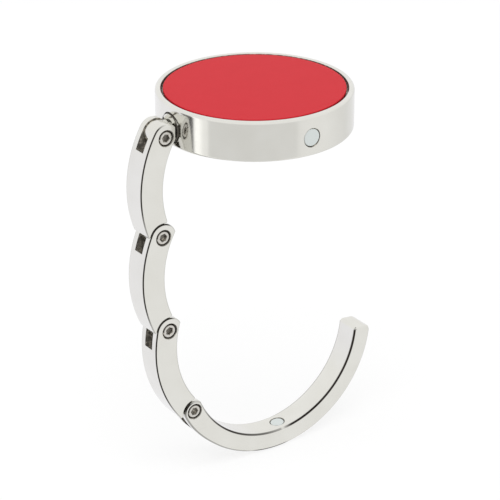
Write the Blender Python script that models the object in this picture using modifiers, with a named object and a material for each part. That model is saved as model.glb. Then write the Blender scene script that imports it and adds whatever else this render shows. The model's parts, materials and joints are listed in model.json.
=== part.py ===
"""Folding purse hook.

A plated disc lies on a table edge and grips it with a rubber pad. A swivel lug in its rim carries
three curved links and a long hook arm, which hang below the table and fold round the rim as a ring.
The origin is the middle of the pad's underside, +Z is up, the lug is at -X and the hook opens to +X.
The four hinges turn about axes along Y. All lengths are in metres.
"""

import math

import bmesh
import bpy
from mathutils import Matrix, Vector

# Clearances
seat_gap = 0.0001  # between pieces that rest on each other
side_gap = 0.00015  # round a piece that lies in a bore or a recess
running_gap = 0.0001  # beside a tongue and round a pin that turn
ring_clearance = 0.00045  # between the folded links and the rim of the disc
stop_gap = 0.0001  # between a link's shoulder and the ear that it stops on
cut_overrun = 0.0010  # how far a cutter runs past what it cuts

# Disc case
disc_radius = 0.0180
case_height = 0.0075
case_wall = 0.0020
top_web = 0.0009
lip_width = 0.00105
rim_round = 0.0005
lip_round = 0.0002
ledge_width = 0.0007

# Red inlay and the film under it
inlay_gap = 0.00035
inlay_thickness = 0.0006
inlay_sink = 0.00005
inlay_round = 0.0001
film_thickness = 0.0001
film_margin = 0.0010

# Base plate and pad
plate_thickness = 0.0006
pad_thickness = 0.0008
pad_proud = 0.0004
pad_round = 0.0002

# Magnets
magnet_radius = 0.00165
hook_magnet_radius = 0.00135
magnet_length = 0.0014
magnet_sink = 0.0001
magnet_edge = 0.0002
magnet_boss_wall = 0.0008
boss_lift = 0.0001
rim_magnet_turn = math.radians(270.0)
hook_magnet_turn = math.radians(71.1)

# Swivel
axis_drop = 0.0003
flange_radius = 0.0027
flange_seat_depth = 0.0006
stem_share = 0.7
stem_bearing = 0.0027
washer_room = 0.00035
washer_thickness = 0.0004
nut_thickness = 0.0016
stem_end = 0.0003
first_pin_drop = 0.0007
flange_clearance = 0.00025
lug_root_top = 0.0019
lug_root_bottom = 0.0014
lug_eye_top = math.radians(111.0)
lug_eye_bottom = math.radians(104.0)

# Links and arm
chain_width = 0.0051
link_thickness = 0.00465
link_pitch = 0.0190
pin_inset = 0.0020
slot_width = 0.0024
slot_depth = 0.0041
tongue_inset = 0.0002
tongue_skin = 0.0001
tongue_overlap = 0.0012
horn_flat = 0.0006
nose_width = 0.0008
edge_round = 0.0003
arm_fork_thickness = 0.00415
arm_ear_gap = 0.0003
arm_thickness = 0.0037
arm_taper_length = 0.0100
arm_span = math.radians(150.5)
tip_corner = 0.0010
corner_share = 0.3

# Hinge screws
screw_radius = 0.00080
head_radius = 0.00135
head_length = 0.00080
head_sink = 0.0001
head_edge = 0.00015
counterbore_depth = 0.0010
thread_gap = 0.00005
socket_across = 0.0013
socket_depth = 0.0005

# How far each hinge hangs open from the folded ring
opening_1 = math.radians(30.5)
opening_2 = math.radians(49.7)
opening_3 = math.radians(42.5)
opening_4 = math.radians(18.6)

# Facets
round_sides = 72
bore_sides = 24
flange_sides = 48
hex_sides = 6
arc_step = math.radians(3.0)
ear_step = math.radians(11.0)
round_steps = 3
small_round_steps = 2
sharp_angle = math.radians(30.0)
flat_angle = math.radians(0.2)
weld_distance = 0.000001

# Heights of the disc, from the table up
pad_film_bottom = pad_thickness + seat_gap
plate_bottom = pad_film_bottom + film_thickness + seat_gap
ledge_height = plate_bottom + plate_thickness + seat_gap
case_bottom = pad_proud
case_top = case_bottom + case_height
axis_height = case_bottom + case_height / 2 - axis_drop
inlay_top = case_top - inlay_sink
inlay_bottom = inlay_top - inlay_thickness
inlay_film_bottom = inlay_bottom - seat_gap - film_thickness
recess_floor = inlay_film_bottom - seat_gap
cavity_top = recess_floor - top_web

# The stem, washer and nut fill the height between the base plate and the top web.
swivel_room = min(cavity_top - axis_height, axis_height - ledge_height)
washer_radius = swivel_room - washer_room
stem_radius = washer_radius * stem_share

# Radii of the disc
recess_radius = disc_radius - lip_width
inlay_radius = recess_radius - inlay_gap
cavity_radius = disc_radius - case_wall
plate_recess_radius = cavity_radius + ledge_width
plate_radius = plate_recess_radius - side_gap
rim_magnet_bore = magnet_radius + side_gap
hook_magnet_bore = hook_magnet_radius + side_gap
magnet_depth = magnet_sink + magnet_length + seat_gap

# Radii of the folded ring
ring_inner = disc_radius + ring_clearance
ring_outer = ring_inner + link_thickness
pin_ring = ring_inner + pin_inset
ear_radius = ring_outer - pin_ring
shoulder_radius = ear_radius + stop_gap
tongue_radius = ear_radius - tongue_inset
arm_ear_radius = arm_fork_thickness - pin_inset
arm_shoulder_radius = arm_ear_radius + arm_ear_gap
arm_tongue_radius = arm_ear_radius - tongue_inset
link_turn = 2 * math.asin(link_pitch / 2 / pin_ring)
half_width = chain_width / 2
tongue_width = slot_width - 2 * running_gap
pin_bore = screw_radius + running_gap

# Places of the swivel, measured from the axis of the disc
first_pin_x = -math.sqrt(pin_ring**2 - first_pin_drop**2)
flange_front = first_pin_x + pin_inset + flange_clearance
seat_face = -(disc_radius - flange_seat_depth)
flange_back = seat_face - seat_gap
boss_face = seat_face + stem_bearing
washer_front = boss_face + seat_gap
nut_front = washer_front + washer_thickness + seat_gap
stem_tip = nut_front + nut_thickness + stem_end


def clear_scene():
    for obj in list(bpy.data.objects):
        bpy.data.objects.remove(obj, do_unlink=True)


def new_collection(name):
    group = bpy.data.collections.new(name)
    bpy.context.scene.collection.children.link(group)
    return group


def new_material(name, colour, roughness, metallic):
    """A Principled material with one colour, given as linear red, green and blue."""
    material = bpy.data.materials.new(name)
    material.use_nodes = True
    shader = material.node_tree.nodes["Principled BSDF"]
    shader.inputs["Base Color"].default_value = (*colour, 1.0)
    shader.inputs["Roughness"].default_value = roughness
    shader.inputs["Metallic"].default_value = metallic
    material.diffuse_color = (*colour, 1.0)
    return material


def place(obj, group, parent=None):
    group.objects.link(obj)
    obj.parent = parent
    return obj


def as_tool(obj):
    """Marks an object as a cutter or a joined shape that is not a piece itself."""
    obj.hide_render = True
    obj.display_type = "WIRE"
    return obj


def finish(obj, material):
    """Gives the piece its material and smooth shading between its sharp edges."""
    obj.data.materials.append(material)
    obj.data.shade_smooth()
    obj.data.set_sharp_from_angle(angle=sharp_angle)
    return obj


def pivot(name, parent, location, turn=0.0):
    """An empty on a joint's axis. A turn carries +X towards +Z."""
    empty = bpy.data.objects.new(name, None)
    empty.location = location
    empty.rotation_euler = (0.0, -turn, 0.0)
    return place(empty, parts, parent)


def cut(obj, cutter):
    step = obj.modifiers.new("cut " + cutter.name, "BOOLEAN")
    step.operation = "DIFFERENCE"
    step.object = as_tool(cutter)


def unite(obj, other):
    step = obj.modifiers.new("join " + other.name, "BOOLEAN")
    step.operation = "UNION"
    step.object = as_tool(other)


def lying_along(direction, origin=(0.0, 0.0, 0.0)):
    """The matrix that turns +Z to the direction and moves it to the origin."""
    turn = Vector(direction).to_track_quat("Z", "X").to_matrix().to_4x4()
    return Matrix.Translation(origin) @ turn


def from_bmesh(name, bm):
    mesh = bpy.data.meshes.new(name)
    bm.to_mesh(mesh)
    bm.free()
    return bpy.data.objects.new(name, mesh)


def bar(name, radius, start, end, frame, sides=bore_sides):
    """A round or many-sided bar along the frame's Z from start to end."""
    bm = bmesh.new()
    middle = Matrix.Translation((0.0, 0.0, (start + end) / 2))
    bmesh.ops.create_cone(
        bm, cap_ends=True, segments=sides, radius1=radius, radius2=radius,
        depth=end - start, matrix=frame @ middle,
    )
    return from_bmesh(name, bm)


def block(name, low, high):
    bm = bmesh.new()
    size = Vector(high) - Vector(low)
    middle = (Vector(high) + Vector(low)) / 2
    matrix = Matrix.Translation(middle) @ Matrix.Diagonal((*size, 1.0))
    bmesh.ops.create_cube(bm, size=1.0, matrix=matrix)
    return from_bmesh(name, bm)


def corner_arc(centre, radius, start, end, steps):
    """Points on an arc in the plane, from one angle to another."""
    return [
        (
            centre[0] + radius * math.cos(start + (end - start) * k / steps),
            centre[1] + radius * math.sin(start + (end - start) * k / steps),
        )
        for k in range(steps + 1)
    ]


def turned(name, profile, frame, sides):
    """A profile of radius and height, from the top of the axis down the outer side, turned whole."""
    bm = bmesh.new()
    points = [bm.verts.new((radius, 0.0, height)) for radius, height in profile]
    for first, second in zip(points, points[1:]):
        bm.edges.new((first, second))
    obj = from_bmesh(name, bm)
    screw = obj.modifiers.new("turn", "SCREW")
    screw.axis = "Z"
    screw.angle = math.tau
    screw.steps = sides
    screw.render_steps = sides
    screw.use_merge_vertices = True
    screw.merge_threshold = weld_distance
    screw.use_normal_calculate = False
    obj.matrix_local = frame
    return obj


def disc_profile(radius, bottom, top, rounding, steps):
    """A plain disc with one small rounding at each outer edge, or a chamfer with one step."""
    quarter = math.pi / 2
    upper = corner_arc((radius - rounding, top - rounding), rounding, quarter, 0.0, steps)
    lower = corner_arc((radius - rounding, bottom + rounding), rounding, 0.0, -quarter, steps)
    return [(0.0, top)] + upper + lower + [(0.0, bottom)]


def flat_plate(name, outline, width):
    """A flat outline in X and Z, made solid to the given width along Y and centred on Y."""
    curve = bpy.data.curves.new(name, "CURVE")
    curve.dimensions = "2D"
    curve.fill_mode = "BOTH"
    curve.extrude = width / 2
    line = curve.splines.new("POLY")
    line.points.add(len(outline) - 1)
    for point, (x, z) in zip(line.points, outline):
        point.co = (x, z, 0.0, 1.0)
    line.use_cyclic_u = True
    flat = bpy.data.objects.new(name, curve)
    flat.rotation_euler = (math.pi / 2, 0.0, 0.0)
    bpy.context.scene.collection.objects.link(flat)
    bpy.context.view_layer.update()
    view = bpy.context.evaluated_depsgraph_get()
    mesh = bpy.data.meshes.new_from_object(flat.evaluated_get(view))
    mesh.transform(flat.matrix_world)
    bpy.data.objects.remove(flat, do_unlink=True)
    bm = bmesh.new()
    bm.from_mesh(mesh)
    bmesh.ops.remove_doubles(bm, verts=bm.verts, dist=weld_distance)
    bmesh.ops.dissolve_limit(bm, angle_limit=flat_angle, verts=bm.verts, edges=bm.edges)
    bmesh.ops.recalc_face_normals(bm, faces=bm.faces)
    bpy.data.meshes.remove(mesh)
    return from_bmesh(name, bm)


def round_edges(obj, width):
    """Rounds the two outlines of a flat plate, and leaves its upright corners."""
    mesh = obj.data
    weight = mesh.attributes.new("bevel_weight_edge", "FLOAT", "EDGE")
    for edge in mesh.edges:
        ends = [mesh.vertices[k].co.y for k in edge.vertices]
        weight.data[edge.index].value = 1.0 if ends[0] * ends[1] > 0.0 else 0.0
    bevel = obj.modifiers.new("round", "BEVEL")
    bevel.limit_method = "WEIGHT"
    bevel.width = width
    bevel.segments = small_round_steps


def meeting_turn(ring, radius):
    """The turn about the ring's centre from a pin to where a circle round that pin meets the ring."""
    share = (pin_ring**2 + ring**2 - radius**2) / (2 * pin_ring * ring)
    return math.acos(share)


def about_ring(radius, turn):
    """A point of the folded ring in a link's frame: turn 0 is beside the upper pin."""
    return (pin_ring - radius * math.cos(turn), -radius * math.sin(turn))


def ring_arc(radius, start, end):
    """Points along the ring. The first and the last are exactly at the given turns."""
    steps = max(2, math.ceil(abs(end - start) / arc_step))
    return [about_ring(radius, start + (end - start) * k / steps) for k in range(steps + 1)]


def about_pin(turn, out, up):
    """A point near a pin at a turn of the ring, by its distances outwards and up the chain."""
    x, z = about_ring(pin_ring, turn)
    cosine = math.cos(turn)
    sine = math.sin(turn)
    return (x - out * cosine - up * sine, z - out * sine + up * cosine)


def pin_arc(turn, radius, start, end):
    """Points round a pin. Angle 0 looks outwards and a right angle looks up the chain."""
    steps = max(2, math.ceil(abs(end - start) / ear_step))
    angles = [start + (end - start) * k / steps for k in range(steps + 1)]
    return [about_pin(turn, radius * math.cos(a), radius * math.sin(a)) for a in angles]


def angle_at_pin(ring, turn_from_pin):
    """The angle round a pin of the point of a ring that is at a turn above that pin."""
    out = ring * math.cos(turn_from_pin) - pin_ring
    up = ring * math.sin(turn_from_pin)
    return math.atan2(up, out)


def ear_outline(radius, flat_turn):
    """The rounded top of a fork from its outer face, and the turn where its inner face begins."""
    if flat_turn == 0.0:
        corner_turn = meeting_turn(ring_inner, radius)
        ear = pin_arc(0.0, radius, 0.0, angle_at_pin(ring_inner, corner_turn))
        return ear[:-1], -corner_turn
    # The first link has a flat that faces the flange of the lug when it hangs open.
    knee_turn = meeting_turn(ring_inner, pin_inset / math.cos(flat_turn / 2))
    flat_start = math.pi - flat_turn - math.acos(pin_inset / radius)
    return pin_arc(0.0, radius, 0.0, flat_start), -knee_turn


def shoulder_outline(radius, stop_turn):
    """The lower end of a link's full width: a horn or a blunt end, then the hollow for the next ear."""
    inner_turn = meeting_turn(ring_inner + horn_flat, radius)
    inner_angle = angle_at_pin(ring_inner + horn_flat, inner_turn)
    if stop_turn == 0.0:
        outer_turn = meeting_turn(ring_outer - horn_flat, radius)
        start = angle_at_pin(ring_outer - horn_flat, outer_turn)
    else:
        # The horn ends in a flat that the next link's outer face comes to rest on.
        reach = (radius + pin_ring * math.cos(stop_turn)) / ring_outer
        outer_turn = stop_turn - math.acos(reach)
        start = stop_turn
    hollow = pin_arc(link_turn, radius, start, inner_angle)
    return hollow, link_turn - outer_turn, link_turn - inner_turn


def link_outline(shoulder, stop_turn, flat_turn):
    ear, inner_top = ear_outline(ear_radius, flat_turn)
    hollow, outer_end, inner_end = shoulder_outline(shoulder, stop_turn)
    outer = ring_arc(ring_outer, 0.0, outer_end)[1:]
    inner = ring_arc(ring_inner, inner_end, inner_top)
    return outer + hollow + inner + ear[::-1]


def tongue_outline(radius, shoulder, nose_turn):
    """The narrow lower end of a link, round about the next pin and let into the link's body."""
    root = link_turn - (shoulder + tongue_overlap) / pin_ring
    inner_ring = ring_inner + tongue_skin
    below = meeting_turn(inner_ring, radius)
    inner_angle = -angle_at_pin(inner_ring, below)
    outer = ring_arc(pin_ring + radius, root, link_turn)
    inner = ring_arc(inner_ring, link_turn + below, root)
    if nose_turn == 0.0:
        end = pin_arc(link_turn, radius, 0.0, inner_angle)
        return outer + end[1:] + inner[1:]
    # The last link's tongue has a nose that rests on the bottom of the arm's slot.
    down = nose_turn - math.pi / 2
    side = math.asin(nose_width / radius)
    reach = slot_depth - stop_gap
    cosine = math.cos(nose_turn)
    sine = math.sin(nose_turn)
    nose = [
        about_pin(link_turn, across * cosine + along * sine, across * sine - along * cosine)
        for across, along in (
            (nose_width, reach),
            (0.0, reach),
            (-nose_width, math.sqrt(reach**2 - nose_width**2)),
        )
    ]
    first = pin_arc(link_turn, radius, 0.0, down + side)
    last = pin_arc(link_turn, radius, down - side, inner_angle)
    return outer + first[1:] + nose + last + inner[1:]


def arm_outline():
    """The hook arm: a fork's ear, a band that thins past it, and a flat-cut tip."""
    ear, inner_top = ear_outline(arm_ear_radius, 0.0)
    outer_tip = ring_inner + arm_thickness
    outer_end = arm_span - tip_corner / outer_tip
    inner_end = arm_span - tip_corner / 2 / ring_inner
    taper = arm_taper_length / pin_ring
    cut_back = tip_corner * corner_share
    steps = math.ceil(outer_end / arc_step)
    outer = []
    for k in range(1, steps + 1):
        turn = outer_end * k / steps
        share = min(1.0, turn / taper)
        ease = share * share * (3.0 - 2.0 * share)
        thickness = arm_fork_thickness + (arm_thickness - arm_fork_thickness) * ease
        outer.append(about_ring(ring_inner + thickness, turn))
    tip = [
        about_ring(outer_tip - cut_back, arm_span - cut_back / outer_tip),
        about_ring(outer_tip - tip_corner, arm_span),
        about_ring(ring_inner + tip_corner / 2, arm_span),
    ]
    inner = ring_arc(ring_inner, inner_end, inner_top)
    return outer + tip + inner + ear[::-1]


def fork_cuts(obj, name, holder):
    """The slot, the screw's bores and the sunk seat of its head, at the upper pin."""
    top = ear_radius + cut_overrun
    slot = block(
        name + "_slot", (-top, -slot_width / 2, -slot_depth), (top, slot_width / 2, top)
    )
    cut(obj, place(slot, tools, holder))
    across = lying_along((0.0, 1.0, 0.0))
    near_face = -half_width
    seat = near_face + counterbore_depth
    outside = half_width + cut_overrun
    sunk = bar(name + "_head_seat", head_radius + side_gap, -outside, seat, across)
    near = bar(name + "_near_bore", pin_bore, seat - cut_overrun / 2, 0.0, across)
    far = bar(name + "_far_bore", screw_radius + thread_gap, 0.0, outside, across)
    for cutter in (sunk, near, far):
        cut(obj, place(cutter, tools, holder))


def link(name, holder, radii, stop_turn, flat_turn, nose_turn):
    """One link of the chain in the frame of its upper pin."""
    shoulder, end_radius = radii
    outline = link_outline(shoulder, stop_turn, flat_turn)
    obj = place(flat_plate(name, outline, chain_width), parts, holder)
    round_edges(obj, edge_round)
    end = tongue_outline(end_radius, shoulder, nose_turn)
    tongue = flat_plate(name + "_tongue", end, tongue_width)
    unite(obj, place(tongue, tools, holder))
    fork_cuts(obj, name, holder)
    x, z = about_ring(pin_ring, link_turn)
    through = lying_along((0.0, 1.0, 0.0), (x, 0.0, z))
    bore = bar(name + "_tongue_bore", pin_bore, -half_width, half_width, through)
    cut(obj, place(bore, tools, holder))
    return finish(obj, plated_zinc)


def hinge_screw(name, holder):
    """A socket-head screw: head in the near ear, thread in the far ear."""
    head_top = half_width - head_sink
    head_base = head_top - head_length
    tip = -(half_width - head_sink)
    profile = [
        (0.0, head_top),
        (head_radius - head_edge, head_top),
        (head_radius, head_top - head_edge),
        (head_radius, head_base),
        (screw_radius, head_base),
        (screw_radius, tip + head_edge),
        (screw_radius - head_edge, tip),
        (0.0, tip),
    ]
    towards_viewer = lying_along((0.0, -1.0, 0.0))
    obj = place(turned(name, profile, towards_viewer, bore_sides), parts, holder)
    corner = socket_across / 2 / math.cos(math.pi / hex_sides)
    socket = bar(
        name + "_socket", corner, head_top - socket_depth, head_top + cut_overrun,
        towards_viewer, hex_sides,
    )
    cut(obj, place(socket, tools, holder))
    return finish(obj, plated_steel)


def magnet(name, radius, frame, parent=None):
    """A short round magnet. The frame's Z points out of its face, and its face is at zero."""
    profile = disc_profile(radius, -magnet_length, 0.0, magnet_edge, 1)
    obj = place(turned(name, profile, frame, bore_sides), parts, parent)
    return finish(obj, magnet_nickel)


def make_case():
    """The open-bottomed case, with bosses inside for the swivel's stem and for the magnet."""
    quarter = math.pi / 2
    profile = [(0.0, recess_floor), (recess_radius, recess_floor)]
    profile += corner_arc(
        (recess_radius + lip_round, case_top - lip_round), lip_round, math.pi, quarter,
        small_round_steps,
    )
    profile += corner_arc(
        (disc_radius - rim_round, case_top - rim_round), rim_round, quarter, 0.0, round_steps
    )
    profile += corner_arc(
        (disc_radius - rim_round, case_bottom + rim_round), rim_round, 0.0, -quarter, round_steps
    )
    profile += [
        (plate_recess_radius, case_bottom),
        (plate_recess_radius, ledge_height),
        (cavity_radius, ledge_height),
        (cavity_radius, cavity_top),
        (0.0, cavity_top),
    ]
    case = place(turned("disc_case", profile, Matrix(), round_sides), parts)

    inside_web = cavity_top + top_web / 2
    in_wall = case_wall / 2
    reach = washer_radius + side_gap
    swivel_boss = block(
        "swivel_boss",
        (-disc_radius + in_wall, -reach, ledge_height + boss_lift),
        (boss_face, reach, inside_web),
    )
    unite(case, place(swivel_boss, tools))
    boss_half = rim_magnet_bore + magnet_boss_wall
    boss_end = disc_radius - magnet_depth - magnet_boss_wall
    magnet_boss = block(
        "magnet_boss",
        (-disc_radius + in_wall, -boss_half, ledge_height + boss_lift),
        (-boss_end, boss_half, inside_web),
    )
    magnet_boss.rotation_euler = (0.0, 0.0, rim_magnet_turn - math.pi)
    unite(case, place(magnet_boss, tools))

    outwards = lying_along((-1.0, 0.0, 0.0), (0.0, 0.0, axis_height))
    outside = disc_radius + cut_overrun
    seat = bar(
        "flange_seat", flange_radius + side_gap, -seat_face, outside, outwards, flange_sides
    )
    bearing = bar(
        "stem_bearing", stem_radius + running_gap, -boss_face - cut_overrun, outside, outwards
    )
    rim_out = (math.cos(rim_magnet_turn), math.sin(rim_magnet_turn), 0.0)
    pocket = bar(
        "rim_magnet_bore", rim_magnet_bore, disc_radius - magnet_depth, outside,
        lying_along(rim_out, (0.0, 0.0, axis_height)),
    )
    for cutter in (seat, bearing, pocket):
        cut(case, place(cutter, tools))
    return finish(case, plated_zinc)


def make_disc():
    """The case, what lies in its top and underside, and the magnet in its rim."""
    make_case()
    film_edge = film_thickness / 4
    film_top = inlay_film_bottom + film_thickness
    pad_film_top = pad_film_bottom + film_thickness
    plate_top = plate_bottom + plate_thickness
    layers = (
        ("top_inlay", inlay_radius, inlay_bottom, inlay_top, inlay_round, small_round_steps,
         red_coating),
        ("inlay_adhesive", inlay_radius - film_margin, inlay_film_bottom, film_top, film_edge, 1,
         clear_film),
        ("base_plate", plate_radius, plate_bottom, plate_top, inlay_round, 1, plated_steel),
        ("pad_adhesive", plate_radius - film_margin, pad_film_bottom, pad_film_top, film_edge, 1,
         clear_film),
        ("non_slip_pad", plate_radius, 0.0, pad_thickness, pad_round, round_steps, black_rubber),
    )
    for name, radius, bottom, top, rounding, steps, material in layers:
        profile = disc_profile(radius, bottom, top, rounding, steps)
        finish(place(turned(name, profile, Matrix(), round_sides), parts), material)
    rim_out = Vector((math.cos(rim_magnet_turn), math.sin(rim_magnet_turn), 0.0))
    face = rim_out * (disc_radius - magnet_sink)
    face.z = axis_height
    magnet("rim_magnet", magnet_radius, lying_along(rim_out, face))


def make_swivel():
    """The lug with its flange and stem, and the washer and nut that keep it in the case."""
    holder = pivot("swivel_axis", None, (0.0, 0.0, axis_height))
    outwards = lying_along((-1.0, 0.0, 0.0))
    quarter = math.pi / 2
    front_round = corner_arc(
        (flange_radius - head_edge, -flange_front - head_edge), head_edge, quarter, 0.0,
        small_round_steps,
    )
    profile = [(0.0, -flange_front)] + front_round + [
        (flange_radius, -flange_back),
        (stem_radius, -flange_back),
        (stem_radius, -stem_tip + head_edge),
        (stem_radius - head_edge, -stem_tip),
        (0.0, -stem_tip),
    ]
    lug = place(turned("swivel_lug", profile, outwards, flange_sides), parts, holder)
    into_flange = flange_front - first_pin_x + (flange_back - flange_front) / 2
    eye = pin_arc(0.0, tongue_radius, lug_eye_top, -lug_eye_bottom)
    outline = [(into_flange, lug_root_top)] + eye + [(into_flange, -lug_root_bottom)]
    tongue = flat_plate("lug_tongue", outline, tongue_width)
    tongue.location = (first_pin_x, 0.0, -first_pin_drop)
    unite(lug, place(tongue, tools, holder))
    bore = bar(
        "lug_bore", pin_bore, -half_width, half_width,
        lying_along((0.0, 1.0, 0.0), (first_pin_x, 0.0, -first_pin_drop)),
    )
    cut(lug, place(bore, tools, holder))
    finish(lug, plated_zinc)

    hole = stem_radius + thread_gap
    washer = place(
        bar("swivel_washer", washer_radius, -washer_front - washer_thickness, -washer_front,
            outwards, flange_sides),
        parts, holder,
    )
    cut(washer, place(bar("washer_hole", hole, -stem_tip, -boss_face, outwards), tools, holder))
    finish(washer, plated_steel)
    nut = place(
        bar("swivel_nut", washer_radius, -nut_front - nut_thickness, -nut_front, outwards,
            hex_sides),
        parts, holder,
    )
    cut(nut, place(bar("nut_hole", hole, -stem_tip, -boss_face, outwards), tools, holder))
    finish(nut, plated_steel)
    return holder


def make_chain(swivel):
    """Three links, each in the frame of its upper pin, hung from the piece above."""
    first = (first_pin_x, 0.0, -first_pin_drop)
    holder = pivot("hinge_1_axis", swivel, first, -opening_1)
    x, z = about_ring(pin_ring, link_turn)
    next_link = (shoulder_radius, tongue_radius)
    next_arm = (arm_shoulder_radius, arm_tongue_radius)
    chain = (
        ("link_upper", next_link, opening_2, opening_1, 0.0, opening_2),
        ("link_middle", next_link, opening_3, 0.0, 0.0, opening_3),
        ("link_lower", next_arm, 0.0, 0.0, opening_4, opening_4),
    )
    for number, (name, radii, stop_turn, flat_turn, nose_turn, opening) in enumerate(chain, 1):
        link(name, holder, radii, stop_turn, flat_turn, nose_turn)
        hinge_screw(f"hinge_screw_{number}", holder)
        holder = pivot(f"hinge_{number + 1}_axis", holder, (x, 0.0, z), link_turn - opening)
    return holder


def make_arm(holder):
    """The hook arm with the magnet in its inner face."""
    arm = place(flat_plate("hook_arm", arm_outline(), chain_width), parts, holder)
    round_edges(arm, edge_round)
    fork_cuts(arm, "hook_arm", holder)
    inwards = (math.cos(hook_magnet_turn), 0.0, math.sin(hook_magnet_turn))
    frame = lying_along(inwards, (pin_ring, 0.0, 0.0))
    pocket = bar(
        "hook_magnet_bore", hook_magnet_bore, -ring_inner - magnet_depth,
        -ring_inner + cut_overrun, frame,
    )
    cut(arm, place(pocket, tools, holder))
    finish(arm, plated_zinc)
    face = frame @ Matrix.Translation((0.0, 0.0, -ring_inner - magnet_sink))
    magnet("hook_magnet", hook_magnet_radius, face, holder)
    hinge_screw("hinge_screw_4", holder)


clear_scene()
parts = new_collection("purse_hook")
tools = new_collection("cutters")
plated_zinc = new_material("plated_zinc", (0.78, 0.77, 0.74), 0.12, 1.0)
plated_steel = new_material("plated_steel", (0.62, 0.61, 0.58), 0.20, 1.0)
magnet_nickel = new_material("magnet_nickel", (0.60, 0.64, 0.65), 0.35, 1.0)
red_coating = new_material("red_coating", (0.68, 0.07, 0.08), 0.45, 0.0)
clear_film = new_material("clear_film", (0.80, 0.80, 0.76), 0.50, 0.0)
black_rubber = new_material("black_rubber", (0.02, 0.02, 0.02), 0.80, 0.0)
make_disc()
make_arm(make_chain(make_swivel()))
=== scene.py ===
import json
import math

import bmesh
import bpy
import numpy as np
from mathutils import Matrix, Vector


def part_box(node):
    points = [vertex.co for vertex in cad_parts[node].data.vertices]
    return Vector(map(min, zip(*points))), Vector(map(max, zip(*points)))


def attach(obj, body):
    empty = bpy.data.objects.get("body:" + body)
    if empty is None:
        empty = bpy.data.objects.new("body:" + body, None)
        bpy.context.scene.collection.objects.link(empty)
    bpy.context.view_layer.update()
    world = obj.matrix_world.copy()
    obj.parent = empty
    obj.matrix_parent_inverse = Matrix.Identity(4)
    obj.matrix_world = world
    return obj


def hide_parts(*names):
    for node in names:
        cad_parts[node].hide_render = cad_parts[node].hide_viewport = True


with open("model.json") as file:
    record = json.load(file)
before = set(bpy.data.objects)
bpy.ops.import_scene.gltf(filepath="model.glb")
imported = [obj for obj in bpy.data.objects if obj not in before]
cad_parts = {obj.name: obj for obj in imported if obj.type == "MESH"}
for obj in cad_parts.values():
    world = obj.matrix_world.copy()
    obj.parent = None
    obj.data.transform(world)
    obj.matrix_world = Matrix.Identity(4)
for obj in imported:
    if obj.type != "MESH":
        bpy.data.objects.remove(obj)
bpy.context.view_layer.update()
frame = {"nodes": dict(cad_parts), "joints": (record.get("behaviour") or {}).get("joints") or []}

bl_info = {
    "name": "Folding Purse Hook",
    "version": (1, 0, 0),
    "blender": (4, 5, 0),
    "location": "3D View > Sidebar > Purse Hook",
    "description": "Builds a polished folding purse hook with a red inlaid disc",
    "category": "Add Mesh",
}

# The places of the solids, which every piece below is built on.
hinges = [joint for joint in frame["joints"] if joint["name"].startswith("hinge")]
pins = [np.array(joint["pos_m"]) for joint in hinges]
folds = [math.radians(joint["range_deg"][1]) for joint in hinges]
swivel_place = next(
    joint["pos_m"] for joint in frame["joints"] if joint["name"] == "swivel_turn"
)
case_low, case_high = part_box("disc_case")
inlay_low, inlay_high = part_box("top_inlay")
pad_low, pad_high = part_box("non_slip_pad")
washer_low, washer_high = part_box("swivel_washer")
screw_low, screw_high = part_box("hinge_screw_2")
magnet_low, magnet_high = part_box("rim_magnet")
arm_low, arm_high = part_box("hook_arm")
plate_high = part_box("base_plate")[1]
lug_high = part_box("swivel_lug")[1]
hook_magnet_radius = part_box("hook_magnet")[1].y

disc_radius = case_high.y
axis_height = swivel_place[2]
half_width = arm_high.y
head_radius = (screw_high.x - screw_low.x) / 2
link_pitch = float(np.linalg.norm(pins[1] - pins[0]))

# Clearances and small sizes of the solids.
SIDE_GAP = 0.00015  # round a piece that lies in a bore or a recess
RUNNING_GAP = 0.0001  # beside a tongue and round a pin
SEAT_GAP = 0.0001  # between pieces that rest on each other
STOP_GAP = 0.0001  # between a shoulder and the ear that stops on it
FLANGE_CLEARANCE = 0.00025  # between the first link's ear and the flange
TONGUE_INSET = 0.0002  # how much smaller a tongue's end is than the ear
TONGUE_STEP = 0.0001  # how far a tongue's inner side stands back from its link's
TONGUE_OVERLAP = 0.0012  # how far a tongue runs into its link
HORN_FLAT = 0.0006  # width of the blunt ends of a hollow
NOSE_WIDTH = 0.0008  # half width of the nose that rests in the arm's slot
ARM_EAR_GAP = 0.0003  # the wider gap round the arm's ear
TAPER_LENGTH = 0.0100  # how far along the arm it thins
CASE_WALL = 0.0020
TOP_WEB = 0.0009  # thickness of the case under the inlay
BOSS_WALL = 0.0008  # wall round the rim magnet's pocket
SEAT_DEPTH = 0.0006  # depth of the flange's seat in the rim
PIN_RADIUS = 0.0008
STEM_RADIUS = 0.7 * washer_high.y  # the stem fills seven tenths of its washer
SEAT_OF_HEAD = 0.0010  # depth of the seat of a screw's head
HEAD_LENGTH = 0.0008
SOCKET_WIDTH, SOCKET_DEPTH = 0.0013, 0.00065
HOOK_MAGNET_TURN = math.radians(71.1)  # how far round the arm its magnet sits
EYE_TOP, EYE_FOOT = 0.0019, -0.0014  # where the lug's eye meets the flange, from its pin
EYE_TURNS = math.radians(111.0), math.radians(-104.0)  # where the eye's round end stops
ARM_EDGE, ARM_CORNER = 1.55, 1.7  # the arm's roundings as multiples of a link's
FLANGE_MIDDLE = 0.6  # where the flange's face is parted, over its radius
FLANGE_BRIGHT = 0.45  # how high above the flange's middle its painted shade ends, over its radius
HEAD_DISH = 0.62  # how much of a screw's head is dished, by the depth of a bore's chamfer

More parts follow.
